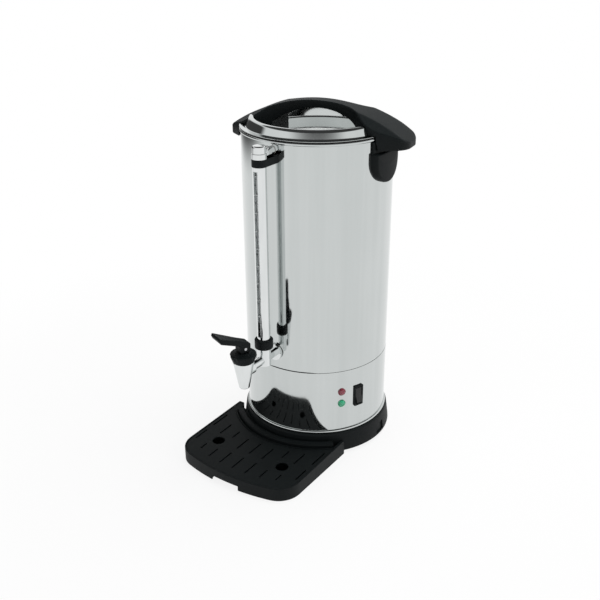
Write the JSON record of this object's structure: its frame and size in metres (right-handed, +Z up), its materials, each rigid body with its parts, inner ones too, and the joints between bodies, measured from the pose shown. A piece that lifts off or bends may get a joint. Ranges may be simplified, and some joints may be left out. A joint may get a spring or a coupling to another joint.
{
  "type": "hot water urn",
  "caption": "Tall cylindrical hot water urn with a self-closing tap, level gauge, locking lid with arched handle, rocker switch, lamps and a removable drip tray.",
  "frame": {"origin": "middle of the part's box, on the surface the urn stands on; the tank's axis is 58.5 mm behind it and 5.9 mm to its left", "axes": "+Z up along the tank's axis, -Y towards the tap and the drip tray, +X to the side with the switch and lamps"},
  "size_m": [0.2732, 0.353, 0.521],
  "materials": {
    "polished_steel": "mirror polished",
    "chrome": "bright chrome plate",
    "black_plastic": "fine satin grain",
    "gloss_black": "smooth gloss",
    "rubber": "matt",
    "silicone": "matt translucent",
    "red_silicone": "matt",
    "glass": "clear",
    "marks": "printed",
    "aluminium": "cast",
    "element_sheath": "heat tinted",
    "zinc_steel": "zinc plated",
    "brass": "plain",
    "ceramic": "matt",
    "brown_plastic": "moulded",
    "white_plastic": "moulded",
    "wire": "silicone sleeve",
    "red_lens": "transparent gloss",
    "green_lens": "transparent gloss"
  },
  "bodies": {
    "urn": {"tank": "polished_steel", "tank_bottom": "polished_steel", "skirt": "polished_steel", "base_ring": "black_plastic", "base_plate": "zinc_steel", "base_plate_screws": "zinc_steel", "skirt_screws": "zinc_steel", "feet": "rubber", "heater_plate": "aluminium", "heating_element": "element_sheath", "heater_nuts": "zinc_steel", "boil_thermostat": "brown_plastic", "keep_warm_thermostat": "brown_plastic", "thermal_cutout": "ceramic", "thermostat_screws": "zinc_steel", "terminal_block": "white_plastic", "wiring": "wire", "power_inlet": "black_plastic", "inlet_screws": "zinc_steel", "switch_housing": "black_plastic", "switch_terminals": "brass", "red_lens": "red_lens", "green_lens": "green_lens", "lamp_bodies": "white_plastic", "lamp_rings": "black_plastic", "tap_shank": "chrome", "shank_seals": "silicone", "shank_nut": "zinc_steel", "tap_body": "chrome", "valve_bonnet": "black_plastic", "gauge_cup": "black_plastic", "gauge_shield": "chrome", "gauge_glass": "glass", "gauge_scale": "marks", "gauge_seals": "rubber", "gauge_cap": "chrome", "stub_seal": "silicone", "stub_nut": "zinc_steel", "gauge_clamp": "black_plastic", "clamp_screw": "zinc_steel", "lock_bracket_right": "black_plastic", "lock_bracket_left": "black_plastic", "bracket_screws": "zinc_steel"},
    "valve": {"valve_stem": "chrome", "seat_cup": "red_silicone", "lever_pin": "zinc_steel", "valve_spring": "zinc_steel"},
    "tap_lever": {"tap_lever": "black_plastic"},
    "seal": {"lid_seal": "rubber"},
    "lid": {"lid": "polished_steel", "lid_handle": "black_plastic", "lid_handle_screws": "zinc_steel"},
    "rocker": {"rocker": "gloss_black"},
    "tray": {"drip_tray": "black_plastic"},
    "grid": {"drip_grid": "black_plastic"}
  },
  "joints": [
    {"name": "valve_lift", "type": "slide", "parent": "urn", "child": "valve", "axis": [0, 0, 1], "range_m": [0, 0.004], "stiffness_N_per_m": 1500, "springref_m": -0.003, "deforming": ["valve_spring"]},
    {"name": "lever_tip", "type": "hinge", "parent": "valve", "child": "tap_lever", "pos_m": [-0.00592, -0.1275, 0.2075], "axis": [0.9278, -0.373, 0], "range_deg": [0, 26]},
    {"name": "lid_lift", "type": "slide", "parent": "urn", "child": "seal", "axis": [0, 0, 1], "range_m": [0, 0.12]},
    {"name": "lid_twist", "type": "hinge", "parent": "seal", "child": "lid", "pos_m": [-0.00592, 0.0585, 0.485], "axis": [0, 0, 1], "range_deg": [-9.5, 20.5]},
    {"name": "rocker_tip", "type": "hinge", "parent": "urn", "child": "rocker", "pos_m": [0.09364, 0.01928, 0.093], "axis": [0.3665, 0.9304, 0], "range_deg": [0, 20]},
    {"name": "tray_slide", "type": "slide", "parent": "urn", "child": "tray", "axis": [0, -1, 0], "range_m": [0, 0.08]},
    {"name": "grid_lift", "type": "slide", "parent": "tray", "child": "grid", "axis": [0, 0, 1], "range_m": [0, 0.03]}
  ],
  "couplings": [
    {"joint": "lever_tip", "follows": "valve_lift", "rad_per_m": 113.4}
  ]
}
